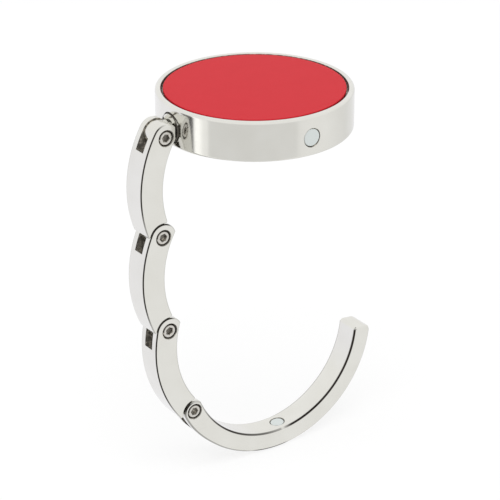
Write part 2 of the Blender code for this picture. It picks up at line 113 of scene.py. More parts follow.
# Roundings, chamfers and gaps of the surfaces that show.
LIP_ROUND = 0.00022
INLAY_ROUND = 0.00014
PAD_ROUND = 0.0002
MAGNET_ROUND = 0.00018
FLANGE_ROUND = 0.00018
EYE_ROUND = 0.00012
TONGUE_ROUND = 0.0001
HEAD_ROUND = 0.0003
FOOT_CUT = 0.0002  # at the foot of the inlay's recess
END_CUT = 0.00015  # chamfer at the end of a screw or a stem
MOUTH = 0.0001  # chamfer at the mouth of a bore
OVER = 0.0008  # how far a cutter runs past what it cuts
GLUED_GAP = 0.00006  # what shows of the gap round a glued piece, because glue fills the rest
SPACING = 0.00012  # between the points of a link's outline
RIM_SIDES, PAD_SIDES, SEAT_SIDES, SCREW_SIDES, PIN_SIDES = 288, 192, 96, 72, 48
SAME_POINT = 1e-7  # points of a mesh closer than this become one
CORNER_LEAST = math.radians(14.0)  # the least turn of an outline that is rounded
CORNER_STEP = math.radians(9.0)  # turn between the points of a rounded corner
SHARP = math.radians(32.0)  # the least angle at which an edge is shaded sharp
QUARTER = math.pi / 2

PER_MM = 1000.0  # scale of a pattern 1 mm across on Object coordinates, which are metres
WHITE = (1.0, 1.0, 1.0, 1.0)

# The painted dark reflection across a rounding, from the flat side at 0 to its end at 1.
LINE_PROFILE = [0.0, 0.03, 0.5, 0.74, 1.0], [0.0, 1.0, 1.0, 0.6, 0.0]
# How dark the line is along a link and the arm, by degrees from the pin, on the outer and the
# inner edge. Over the pin, each link's outer line starts at a level of its own.
LINK_OUTER_TURNS, LINK_OUTER_LEVELS = [-6, -2, 36, 50], [1.0, 1.0, 0.2]
LINK_INNER_LINE = [0, 60], [0.2, 0.2]
ARM_OUTER_LINE = (
    [-4, -1, 46, 50, 54, 70, 73, 148, 149],
    [1.0, 0.45, 0.45, 0.25, 1.0, 1.0, 0.05, 0.05, 0.0],
)
ARM_INNER_LINE = (
    [0, 15, 30, 58, 68.5, 69.5, 70.5, 72, 76, 148.6, 149.6],
    [0.3, 0.9, 1.0, 0.8, 0.5, 0.1, 0.1, 0.5, 1.0, 1.0, 0.0],
)

# The floor and the lamp. The camera sees the paper partly as its own white, and the rest of it
# takes the shadow.
FLOOR_GAP, FLOOR_HALF = 0.0001, 3.0
PAPER_WHITE = 0.80
LAMP_SIZE = 1.5
LAMP_PLACE, LAMP_TARGET = Vector((-0.36, -0.48, 1.35)), Vector((0.0, 0.0, -0.02))
# The walls of the tent by their turn from the camera in degrees, with their level and that of
# their blue: the opening in the middle, a black seam and a lamp panel on its left, and lighter
# cloth past the sides and behind.
PANEL = 1.3
TENT_WALLS = (
    (-180, 0.95, 1.03), (-92, 0.97, 1.05), (-88.5, 0.10, 1.0), (-76, 0.10, 1.0),
    (-73.5, PANEL, 1.0), (-67, PANEL, 1.0), (-61.5, 1.0, 1.0), (-56, 0.98, 1.0),
    (-53.5, 0.78, 1.0), (0, 0.785, 1.0), (48, 0.81, 1.0), (53, 0.90, 1.0),
    (68, 0.93, 1.0), (88, 0.92, 1.0), (105, 0.88, 1.0), (130, 0.82, 1.0),
    (180, 0.95, 1.03),
)
TENT_ROOF = (0.97, 0.97, 0.97, 1.0)
ROOF_FROM, ROOF_TO = -0.1, 0.35  # heights of the look between which walls turn to roof


def number(name, description, default, **kind):
    return bpy.props.FloatProperty(name=name, description=description, default=default, **kind)


def metres(name, description, default):
    return number(name, description, default, unit="LENGTH")


def degrees(name, description, default):
    return number(name, description, math.radians(default), subtype="ANGLE")


def hex_colour(name, description, code):
    return bpy.props.StringProperty(name=name, description=description, default=code)


class HookSizes(bpy.types.PropertyGroup):
    """Sizes of the disc, the chain and the arm."""

    lip_width: metres("Lip width", "Width of the metal ring round the inlay", 0.00105)
    rim_round: metres("Rim rounding", "Rounding of the disc's outer edges", 0.0005)
    ring_inner: metres("Ring radius", "Inner radius of the folded ring", 0.01845)
    link_thickness: metres("Link thickness", "Thickness of a link across its curve", 0.00465)
    arm_thickness: metres("Arm thickness", "Thickness of the arm past its fork", 0.0037)
    fork_thickness: metres("Fork thickness", "Thickness of the arm at its fork", 0.00415)
    tip_corner: metres("Tip corner", "How far the arm's corner is cut back at its tip", 0.0010)
    pin_inset: metres("Pin inset", "Distance of a pin's axis from a link's inner face", 0.0020)
    arm_span: degrees("Arm span", "How far round its circle the hook arm reaches", 150.5)
    edge_round: metres("Edge rounding", "Rounding along the edges of the links", 0.00024)
    corner_round: metres("Corner rounding", "Rounding of a link's corners", 0.00028)
    slot_width: metres("Slot width", "Width of the slot that takes the next tongue", 0.0024)
    slot_depth: metres("Slot depth", "Depth of the slot below the pin", 0.0041)


class HookFinish(bpy.types.PropertyGroup):
    """Colours of the plating, the inlay and the rubber, as sRGB hex values."""

    nickel: hex_colour("Nickel", "Colour of the bright nickel plate", "#E8E7E1")
    # Colour of the thin dark line along the rounded edges, a painted reflection of dark
    # surroundings.
    painted_edge_reflection: hex_colour("Worn edge", "Colour where the bright plate is worn off the edges", "#2E2A26")
    # Colour of slots and bores: the plate is duller there, and its darker colour is painted shade.
    recess: hex_colour("Recess", "Colour of the thin plate in slots and bores", "#8C8880")
    # Colour of the painted shade on the flange's shaded side and on the screws' round edges.
    painted_shade: hex_colour("Unpolished", "Colour of the plate under the flange", "#57534C")
    steel: hex_colour("Steel", "Colour of the plated screws", "#DDDAD3")
    magnet: hex_colour("Magnet", "Colour of the magnets' matt plate", "#E5EAE7")
    inlay: hex_colour("Inlay", "Colour of the red lacquer", "#C72831")
    rubber: hex_colour("Rubber", "Colour of the non-slip pad", "#1B1B1C")
    film: hex_colour("Film", "Colour of the adhesive films", "#D9D6C8")


class HookStage(bpy.types.PropertyGroup):
    """The camera's place and the level of the light."""

    azimuth: degrees("Azimuth", "Turn of the view about the vertical", -33.891)
    elevation: degrees("Elevation", "Height of the view above the horizon", 24.996)
    roll: degrees("Roll", "Turn of the picture", -0.107)
    distance: metres("Distance", "Distance from the camera to the disc", 0.408478)
    right: metres("Right", "How far right of the middle the disc's top lies", 0.000845)
    above: metres("Above", "How far above the middle the disc's top lies", 0.029572)
    lens: number("Lens", "Focal length on a 36 mm sensor", 163.45)
    key_power: number("Key light", "Power of the large overhead light", 15.5, unit="POWER")
    ambient: number("Ambient", "Level of the light from all round", 0.62)


def linear(code):
    """An sRGB hex colour as linear red, green, blue and alpha."""
    value = np.array([int(code[k:k + 2], 16) for k in (1, 3, 5)]) / 255
    value = np.where(value <= 0.04045, value / 12.92, ((value + 0.055) / 1.055) ** 2.4)
    return (*value.tolist(), 1.0)


def times(base, share):
    """A linear colour times one share, or times one each for red, green and blue."""
    return (*(np.array(base[:3]) * share).tolist(), 1.0)


def add(tree, kind, inputs=None, **settings):
    """Adds a node. Inputs are values, outputs, or nodes that give their first output."""
    node = tree.nodes.new("ShaderNode" + kind)
    for name, value in settings.items():
        setattr(node, name, value)
    for name, value in (inputs or {}).items():
        if isinstance(value, bpy.types.Node):
            value = next(output for output in value.outputs if output.enabled)
        if isinstance(value, bpy.types.NodeSocket):
            tree.links.new(value, node.inputs[name])
        else:
            node.inputs[name].default_value = value
    return node


def empty_tree(owner):
    """The node tree of a material or a world, with no nodes."""
    owner.use_nodes = True
    owner.node_tree.nodes.clear()
    return owner.node_tree


def bright_nickel(finish, tree, coords):
    """Bright nickel plate on die-cast zinc, tumbled and buffed.

    The eye sees a near mirror that is softened by a faint waviness of the casting, about 1.5 mm
    across, and by fine hairlines from handling. Along the rounded edges a thin dark line is
    painted
    in: a painted reflection of dark surroundings in the roundings.
    """
    base = linear(finish.nickel)
    wave = add(tree, "TexNoise", {
        "Vector": coords, "Scale": PER_MM / 1.5, "Detail": 2.0, "Roughness": 0.45,
    })
    stretch = add(tree, "Mapping", {
        "Vector": coords, "Rotation": (0.35, 0.2, 0.6), "Scale": (1.0, 9.0, 1.0),
    })
    hair = add(tree, "TexNoise", {
        "Vector": stretch, "Scale": PER_MM / 0.9, "Detail": 5.0, "Roughness": 0.7,
    })
    rough = add(tree, "MapRange", {
        "Value": hair, "From Min": 0.35, "From Max": 0.75, "To Min": 0.09, "To Max": 0.17,
    })
    soft = add(tree, "TexNoise", {"Vector": coords, "Scale": PER_MM / 4.0, "Detail": 1.0})
    shade = add(tree, "MapRange", {"Value": soft, "From Min": 0.3, "From Max": 0.7})
    tone = add(tree, "Mix", {
        "Factor": shade, "A": base, "B": times(base, (0.965, 0.962, 0.955)),
    }, data_type="RGBA")
    # The thin dark line along the edges is a painted reflection, weighted by a point attribute.
    line = add(tree, "Attribute", attribute_name="dark_reflection_line").outputs["Fac"]
    painted_edge_reflection = add(tree, "Mix", {
        "Factor": line, "A": tone, "B": linear(finish.painted_edge_reflection),
    }, data_type="RGBA")
    bump = add(tree, "Bump", {"Height": wave, "Strength": 0.05, "Distance": 0.00004})
    return {"Base Color": painted_edge_reflection, "Roughness": rough, "Normal": bump, "Metallic": 1.0}


def recess_nickel(finish, tree, coords):
    """The same casting down in its slots and bores, matt where no wheel reaches, in painted shade.
    """
    return dull_nickel(linear(finish.recess), 2.6, tree, coords)


def painted_shade_nickel(finish, tree, coords):
    """Painted shade on the shaded side of the lug's flange and on the screws' round edges."""
    return dull_nickel(linear(finish.painted_shade), 1.3, tree, coords)


def dull_nickel(base, patch, tree, coords):
    """Matt nickel plate, a little grainy, whose dark colour is painted shade.

    The grain is about 0.25 mm across. Patches about 0.7 mm across, where the plate came out
    brighter, are patch times as bright as the rest.
    """
    grain = add(tree, "TexNoise", {"Vector": coords, "Scale": PER_MM / 0.25, "Detail": 3.0})
    dark = add(tree, "Mix", {
        "Factor": grain, "A": times(base, 0.7), "B": base,
    }, data_type="RGBA")
    cast = add(tree, "TexNoise", {
        "Vector": coords, "Scale": PER_MM / 0.7, "Detail": 3.0, "Roughness": 0.6,
    })
    spread = add(tree, "MapRange", {"Value": cast, "From Min": 0.48, "From Max": 0.66})
    tone = add(tree, "Mix", {
        "Factor": spread, "A": dark, "B": times(base, patch),
    }, data_type="RGBA")
    bump = add(tree, "Bump", {"Height": grain, "Strength": 0.25, "Distance": 0.00003})
    return {"Base Color": tone, "Normal": bump, "Metallic": 0.7, "Roughness": 0.42}


def plated_steel(finish, tree, coords):
    """Nickel-plated steel screws, nut, washer and base plate, turned or pressed.

    Slightly greyer and softer than the buffed casting, with fine tool marks about 0.1 mm apart.
    """
    base = linear(finish.steel)
    marks = add(tree, "TexNoise", {"Vector": coords, "Scale": PER_MM / 0.1, "Detail": 2.0})
    tone = add(tree, "Mix", {
        "Factor": marks, "A": times(base, 0.9), "B": base,
    }, data_type="RGBA")
    rough = add(tree, "MapRange", {"Value": marks, "To Min": 0.16, "To Max": 0.30})
    bump = add(tree, "Bump", {"Height": marks, "Strength": 0.1, "Distance": 0.00001})
    return {"Base Color": tone, "Roughness": rough, "Normal": bump, "Metallic": 1.0}


def magnet_plate(finish, tree, coords):
    """Nickel-plated neodymium magnet, barrel plated.

    A cooler, bluish and matter grey than the casting, with fine pits about 0.12 mm across.
    """
    base = linear(finish.magnet)
    pits = add(tree, "TexNoise", {
        "Vector": coords, "Scale": PER_MM / 0.12, "Detail": 4.0, "Roughness": 0.6,
    })
    tone = add(tree, "Mix", {
        "Factor": pits, "A": times(base, (0.9, 0.92, 0.94)), "B": base,
    }, data_type="RGBA")
    bump = add(tree, "Bump", {"Height": pits, "Strength": 0.2, "Distance": 0.00001})
    return {"Base Color": tone, "Normal": bump, "Metallic": 1.0, "Roughness": 0.34}


def red_lacquer(finish, tree, coords):
    """Red stoving lacquer, sprayed on the inlay and left satin.

    The colour is even, with a very faint cloudiness about 3 mm across from the spray, and a fine
    orange peel about 0.6 mm across that breaks the gloss.
    """
    base = linear(finish.inlay)
    cloud = add(tree, "TexNoise", {
        "Vector": coords, "Scale": PER_MM / 3.0, "Detail": 4.0, "Roughness": 0.6,
    })
    peel = add(tree, "TexNoise", {"Vector": coords, "Scale": PER_MM / 0.6, "Detail": 2.0})
    tone = add(tree, "Mix", {
        "Factor": cloud, "A": times(base, (0.965, 0.93, 0.93)),
        "B": times(base, (1.03, 1.07, 1.07)),
    }, data_type="RGBA")
    bump = add(tree, "Bump", {"Height": peel, "Strength": 0.12, "Distance": 0.00003})
    return {
        "Base Color": tone, "Normal": bump, "Roughness": 0.42, "IOR": 1.45,
        "Specular IOR Level": 0.08,
    }


def black_rubber(finish, tree, coords):
    """Black natural rubber sheet, moulded against a sand-blasted plate.

    Matt and slightly dusty, with a fine grit about 0.2 mm across that grips the table.
    """
    base = linear(finish.rubber)
    grit = add(tree, "TexVoronoi", {"Vector": coords, "Scale": PER_MM / 0.2})
    dust = add(tree, "TexNoise", {"Vector": coords, "Scale": PER_MM / 5.0, "Detail": 4.0})
    tone = add(tree, "Mix", {
        "Factor": dust, "A": base, "B": times(base, 2.4),
    }, data_type="RGBA")
    bump = add(tree, "Bump", {"Height": grit, "Strength": 0.6, "Distance": 0.00004})
    return {"Base Color": tone, "Normal": bump, "Roughness": 0.78, "IOR": 1.52}


def adhesive_film(finish, tree, coords):
    """Double-sided acrylic adhesive film, cast and cut, milky and faintly streaked."""
    base = linear(finish.film)
    streak = add(tree, "TexNoise", {"Vector": coords, "Scale": PER_MM / 2.0, "Detail": 3.0})
    tone = add(tree, "Mix", {
        "Factor": streak, "A": times(base, (0.85, 0.85, 0.82)), "B": base,
    }, data_type="RGBA")
    return {"Base Color": tone, "Roughness": 0.4}


MATERIALS = {
    "nickel": ("bright_nickel_buffed", bright_nickel),
    "recess": ("nickel_in_recess_painted_shade", recess_nickel),
    "painted_shade": ("nickel_with_painted_shade", painted_shade_nickel),
    "steel": ("nickel_plated_steel_turned", plated_steel),
    "magnet": ("matt_nickel_on_magnet", magnet_plate),
    "lacquer": ("red_satin_lacquer_sprayed", red_lacquer),
    "rubber": ("black_rubber_moulded", black_rubber),
    "film": ("acrylic_adhesive_film_cast", adhesive_film),
}


def material(surface):
    """The surface's material, which is made the first time that it is asked for."""
    name, paint = MATERIALS[surface]
    made = bpy.data.materials.get(name)
    if made is None:
        made = bpy.data.materials.new(name)
        tree = empty_tree(made)
        coords = add(tree, "TexCoord").outputs["Object"]
        finish = bpy.context.scene.purse_hook_finish
        shader = add(tree, "BsdfPrincipled", paint(finish, tree, coords))
        add(tree, "OutputMaterial", {"Surface": shader})
    return made


def sweep(start, end, step):
    """Angles from start to end, no further apart than step degrees."""
    count = max(2, math.ceil(abs(end - start) / math.radians(step)))
    return np.linspace(start, end, count + 1)


def ring_faces(rows, count):
    """The four-cornered faces between rows of points, where every row is a closed ring."""
    row = np.arange(rows - 1)[:, None] * count
    column = np.arange(count)[None, :]
    after = (column + 1) % count
    faces = np.stack((row + column, row + after, row + count + after, row + count + column), 2)
    return faces.reshape(-1, 4).tolist()


def turned(profile, sides):
    """A surface of revolution: each profile point (radius, height) carried round the Z axis."""
    radius, height = np.asarray(profile, float).T[:, :, None]
    turn = np.linspace(0.0, math.tau, sides, endpoint=False)
    points = np.stack((radius * np.cos(turn), radius * np.sin(turn), height + 0 * turn), 2)
    return points.reshape(-1, 3), ring_faces(len(profile), sides)


def even(outline, spacing):
    """The same closed line with its points at equal steps of its length."""
    ring = np.concatenate((outline, outline[:1]))
    place = np.concatenate(([0.0], np.cumsum(np.linalg.norm(np.diff(ring, axis=0), axis=1))))
    count = int(place[-1] / spacing)
    at = np.linspace(0.0, place[-1], count, endpoint=False)
    return np.stack([np.interp(at, place, ring[:, k]) for k in (0, 1)], 1)


def slab(outline, half, rounding, steps=6):
    """A flat outline made solid along Y, with both of its edges rounded.

    Every ring is the outline moved inwards by rounding * (1 - cos a) at the height
    half - rounding * (1 - sin a), for a from a right angle on each flat side down to zero.
    Outwards is a right angle from the line between the second points before and after.
    """
    outline = even(outline, SPACING)
    side = np.roll(outline, -2, 0) - np.roll(outline, 2, 0)
    side /= np.linalg.norm(side, axis=1)[:, None]
    after = np.roll(outline, -1, 0)
    area = (outline[:, 0] * after[:, 1] - outline[:, 1] * after[:, 0]).sum()
    outwards = np.sign(area) * np.stack((side[:, 1], -side[:, 0]), 1)
    turn = np.linspace(QUARTER, 0.0, steps + 1)
    inset = rounding * (1 - np.cos(turn))
    height = half - rounding * (1 - np.sin(turn))
    inset = np.concatenate((inset, inset[::-1]))
    height = np.concatenate((-height, height[::-1]))
    flat = outline[None] - outwards[None] * inset[:, None, None]
    points = np.stack((flat[..., 0], height[:, None] + 0 * flat[..., 0], flat[..., 1]), 2)
    rows, count = len(height), len(outline)
    caps = [list(range(count)), list(range((rows - 1) * count, rows * count))]
    return points.reshape(-1, 3), ring_faces(rows, count) + caps


def box_shape(low, high):
    """A box as a grid of its eight corners."""
    pick = np.array([[i, j, k] for i in (0, 1) for j in (0, 1) for k in (0, 1)])
    points = np.where(pick == 0, np.array(low, float), np.array(high, float))
    faces = [[0, 1, 3, 2], [4, 6, 7, 5], [0, 4, 5, 1], [2, 3, 7, 6], [0, 2, 6, 4], [1, 5, 7, 3]]
    return points, faces


def soften(outline, radius):
    """Rounds each outward corner of a closed outline.

    The line is cut back on both sides of the corner by radius * tan(turn / 2), and an arc about
    the point that lies radius inside both sides takes the corner's place.
    """
    step = np.roll(outline, -1, 0) - outline
    length = np.linalg.norm(step, axis=1)
    kept = length > SAME_POINT / 10
    outline, step, length = outline[kept], step[kept], length[kept]
    place = np.concatenate(([0.0], np.cumsum(length)[:-1]))
    total = length.sum()
    heading = np.arctan2(step[:, 1], step[:, 0])
    turn = (heading - np.roll(heading, 1) + math.pi) % math.tau - math.pi
    sign = np.sign(turn.sum())
    keep = np.ones(len(outline), bool)
    extra, extra_place = [], []
    wrapped = np.concatenate((place - total, place, place + total))
    tripled = np.concatenate((outline, outline, outline))
    for k in np.nonzero(turn * sign > CORNER_LEAST)[0]:
        back = radius * math.tan(abs(turn[k]) / 2)
        apart = np.abs((place - place[k] + total / 2) % total - total / 2)
        keep &= apart >= back
        ends = [
            np.array([np.interp(place[k] + s * back, wrapped, tripled[:, c]) for c in (0, 1)])
            for s in (-1, 1)
        ]
        sides = (heading[k - 1], heading[k])
        inward = sign * np.array([[-math.sin(side), math.cos(side)] for side in sides])
        centre = (ends[0] + ends[1] + radius * inward.sum(0)) / 2
        first = ends[0] - centre
        start = math.atan2(first[1], first[0])
        share = np.linspace(0.0, 1.0, max(3, int(abs(turn[k]) / CORNER_STEP)) + 1)
        angle = start + turn[k] * share
        reach = np.linalg.norm(first) * (1 - share) + np.linalg.norm(ends[1] - centre) * share
        extra.append(centre + reach[:, None] * np.stack((np.cos(angle), np.sin(angle)), 1))
        extra_place.append((place[k] + back * (2 * share - 1)) % total)
    points = np.concatenate([outline[keep]] + extra)
    order = np.argsort(np.concatenate([place[keep]] + extra_place), kind="stable")
    return points[order]


class Chain:
    """The shapes of the folded ring, worked out from its radii as the solids are."""

    def __init__(self, sizes):
        self.inner = sizes.ring_inner
        self.outer = sizes.ring_inner + sizes.link_thickness
        self.pin = sizes.ring_inner + sizes.pin_inset
        self.inset = sizes.pin_inset
        self.ear = self.outer - self.pin
        self.shoulder = self.ear + STOP_GAP
        self.tongue = self.ear - TONGUE_INSET
        self.arm_ear = sizes.fork_thickness - sizes.pin_inset
        self.arm_shoulder = self.arm_ear + ARM_EAR_GAP
        self.arm_tongue = self.arm_ear - TONGUE_INSET
        self.turn = 2 * math.asin(link_pitch / 2 / self.pin)
        self.tongue_half = sizes.slot_width / 2 - RUNNING_GAP
        self.sizes = sizes
        low = np.array(self.at(self.pin, self.turn))
        self.rest = [
            math.atan2(across[2], across[0]) - math.atan2(low[1], low[0])
            for across in np.diff(pins, axis=0)
        ]
        self.rest.append(self.rest[-1] + self.turn - folds[3])

    def at(self, radius, turn):
        """A point of the ring beside the upper pin at turn 0: (pin - r cos t, -r sin t)."""
        return self.pin - radius * np.cos(turn), -radius * np.sin(turn)

    def arc(self, radius, start, end):
        """Points of the ring at one radius."""
        return np.stack(self.at(radius, sweep(start, end, 0.4)), 1)

    def near_pin(self, turn, out, up):
        """A point by its distances outwards from a pin and up the chain from it."""
        x, z = self.at(self.pin, turn)
        return np.stack(
            (x - out * math.cos(turn) - up * math.sin(turn),
             z - out * math.sin(turn) + up * math.cos(turn)), -1,
        )

    def about(self, turn, radius, start, end):
        """Points of a circle round a pin, by their angle from outwards towards up the chain."""
        angle = sweep(start, end, 2.0)
        return self.near_pin(turn, radius * np.cos(angle), radius * np.sin(angle))

    def meet(self, ring, radius):
        """The turn from a pin to where a circle round it crosses the ring, by the cosine rule."""
        share = (self.pin**2 + ring**2 - radius**2) / (2 * self.pin * ring)
        return math.acos(share)

    def angle(self, ring, above):
        return math.atan2(ring * math.sin(above), ring * math.cos(above) - self.pin)

    def ear_line(self, radius, flat):
        if flat == 0.0:
            corner = self.meet(self.inner, radius)
            return self.about(0.0, radius, 0.0, self.angle(self.inner, corner))[:-1], -corner
        knee = self.meet(self.inner, self.inset / math.cos(flat / 2))
        start = math.pi - flat - math.acos(self.inset / radius)
        return self.about(0.0, radius, 0.0, start), -knee

    def link(self, shoulder, stop, flat):
        """A link's outline: outer arc, horn or blunt end, hollow, inner arc, round ear."""
        ear, top = self.ear_line(self.ear, flat)
        inner_turn = self.meet(self.inner + HORN_FLAT, shoulder)
        last = self.angle(self.inner + HORN_FLAT, inner_turn)
        if stop == 0.0:
            outer_turn = self.meet(self.outer - HORN_FLAT, shoulder)
            start = self.angle(self.outer - HORN_FLAT, outer_turn)
        else:
            reach = (shoulder + self.pin * math.cos(stop)) / self.outer
            outer_turn = stop - math.acos(reach)
            start = stop
        hollow = self.about(self.turn, shoulder, start, last)
        outer = self.arc(self.outer, 0.0, self.turn - outer_turn)[1:]
        inner = self.arc(self.inner, self.turn - inner_turn, top)
        return np.concatenate((outer, hollow, inner, ear[::-1]))

    def tongue_line(self, radius, shoulder, nose):
        """The tongue's outline: a band of the ring that ends round about the lower pin."""
        root = self.turn - (shoulder + TONGUE_OVERLAP) / self.pin
        ring = self.inner + TONGUE_STEP
        below = self.meet(ring, radius)
        last = -self.angle(ring, below)
        outer = self.arc(self.pin + radius, root, self.turn)
        inner = self.arc(ring, self.turn + below, root)
        if nose == 0.0:
            end = self.about(self.turn, radius, 0.0, last)
            return np.concatenate((outer, end[1:], inner[1:]))
        width = NOSE_WIDTH
        down = nose - QUARTER
        side = math.asin(width / radius)
        reach = self.sizes.slot_depth - STOP_GAP
        across = np.array([width, 0.0, -width])
        lengthwise = np.array([reach, reach, math.sqrt(reach**2 - width**2)])
        tip = self.near_pin(
            self.turn, across * math.cos(nose) + lengthwise * math.sin(nose),
            across * math.sin(nose) - lengthwise * math.cos(nose),
        )
        first = self.about(self.turn, radius, 0.0, down + side)
        then = self.about(self.turn, radius, down - side, last)
        return np.concatenate((outer, first[1:], tip, then, inner[1:]))

    def arm(self):
        """The arm's outline: its thickness eases from the fork's to the arm's by 3s^2 - 2s^3."""
        ear, top = self.ear_line(self.arm_ear, 0.0)
        corner = self.sizes.tip_corner
        bevel = corner * 0.3  # the middle of the rounded corner, from both of its sides
        tip = self.inner + self.sizes.arm_thickness
        span = self.sizes.arm_span
        turn = np.linspace(0.0, span, math.ceil(span / math.radians(1.0)))[1:]
        share = np.clip(turn * self.pin / TAPER_LENGTH, 0.0, 1.0)
        ease = share * share * (3 - 2 * share)
        thinner = self.sizes.arm_thickness - self.sizes.fork_thickness
        thick = self.sizes.fork_thickness + thinner * ease
        outer = np.stack(self.at(self.inner + thick, turn), 1)[turn < span - corner / tip]
        end = np.array([
            self.at(tip, span - corner / tip),
            self.at(tip - bevel, span - bevel / tip),
            self.at(tip - corner, span),
            self.at(self.inner + corner / 2, span),
        ])
        inner = self.arc(self.inner, span - corner / 2 / self.inner, top)
        return np.concatenate((outer, end, inner, ear[::-1]))


def along(direction, origin):
    """The matrix that turns +Z to the direction and moves it to the origin."""
    turn = Vector(direction).to_track_quat("Z", "X").to_matrix().to_4x4()
    return Matrix.Translation(origin) @ turn


def link_frame(pin, turn):
    """A link's own frame: its pin, and its turn that carries +X towards +Z."""
    return Matrix.Translation(pin.tolist()) @ Matrix.Rotation(-turn, 4, "Y")


def new_object(name, shape, surface, matrix=Matrix()):
    """A mesh object from a closed shape's points and faces, with its place in its mesh."""
    points, faces = shape
    mesh = bpy.data.meshes.new(name)
    mesh.from_pydata(points.tolist(), [], faces)
    mesh.transform(matrix)
    bm = bmesh.new()
    bm.from_mesh(mesh)
    bmesh.ops.remove_doubles(bm, verts=bm.verts, dist=SAME_POINT)
    bmesh.ops.recalc_face_normals(bm, faces=bm.faces)
    bm.to_mesh(mesh)
    bm.free()
    mesh.materials.append(material(surface))
    obj = bpy.data.objects.new(name, mesh)
    bpy.context.scene.collection.objects.link(obj)
    return obj


def rod(radius, top, bottom):
    """The profile of a plain cylinder."""
    return [[0.0, top], [radius, top], [radius, bottom], [0.0, bottom]]


def cut(name, profile, sides, place):
    """A step for carve: a turned cutter, which leaves the recess's matt colour in painted shade
    where it cuts.
    """
    return "DIFFERENCE", new_object(name, turned(profile, sides), "recess", place)


def carve(obj, steps):
    """Applies cuts and joins one after another, and removes what was cut or joined with."""
    for operation, tool in steps:
        step = obj.modifiers.new(tool.name, "BOOLEAN")
        step.operation = operation
        step.object = tool
        step.material_mode = "TRANSFER"
    bpy.context.view_layer.update()
    view = bpy.context.evaluated_depsgraph_get()
    mesh = bpy.data.meshes.new_from_object(obj.evaluated_get(view))
    obj.modifiers.clear()
    old, obj.data = obj.data, mesh
    name = old.name
    bpy.data.meshes.remove(old)
    mesh.name = name
    for _, tool in steps:
        bpy.data.objects.remove(tool, do_unlink=True)


def finish_piece(obj, body, slot, *nodes):
    """Smooths the shading between sharp edges and puts the piece in its nodes' place."""
    obj.data.shade_smooth()
    obj.data.set_sharp_from_angle(angle=SHARP)
    flat = obj.modifiers.new("even normals", "WEIGHTED_NORMAL")
    flat.keep_sharp = True
    flat.weight = 100
    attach(obj, body)
    if nodes:
        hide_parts(*nodes)


def fillet(centre, radius, start, end, steps=6):
    """Points on an arc: centre + radius * (cos a, sin a), a from start to end."""
    angle = np.linspace(start, end, steps + 1)
    return (np.array(centre) + radius * np.stack((np.cos(angle), np.sin(angle)), 1)).tolist()


def values(items, name, width, kind=np.float32):
    """A value of every point or face of a mesh, as an array with a row for each."""
    table = np.empty(len(items) * width, kind)
    items.foreach_get(name, table)
    return table.reshape(-1, width)


def resurface(obj, surface, inside):
    """Gives the faces whose centres the test picks another surface."""
    faces = obj.data.polygons
    obj.data.materials.append(material(surface))
    index = values(faces, "material_index", 1, np.int32)[:, 0]
    index[inside(*values(faces, "center", 3).T)] = len(obj.data.materials) - 1
    faces.foreach_set("material_index", index)


def round_disc(name, radius, bottom, top, rounding, sides, surface, slot):
    """A flat round piece of the disc, with both of its outer edges rounded."""
    flat = [radius * k / 6 for k in range(1, 6)]
    profile = [[0.0, top]] + [[reach, top] for reach in flat]
    profile += fillet((radius - rounding, top - rounding), rounding, QUARTER, 0.0)
    profile += fillet((radius - rounding, bottom + rounding), rounding, 0.0, -QUARTER)
    profile += [[reach, bottom] for reach in flat[::-1]] + [[0.0, bottom]]
    obj = new_object(name + "_shown", turned(profile, sides), surface)
    finish_piece(obj, "disc", slot, name)


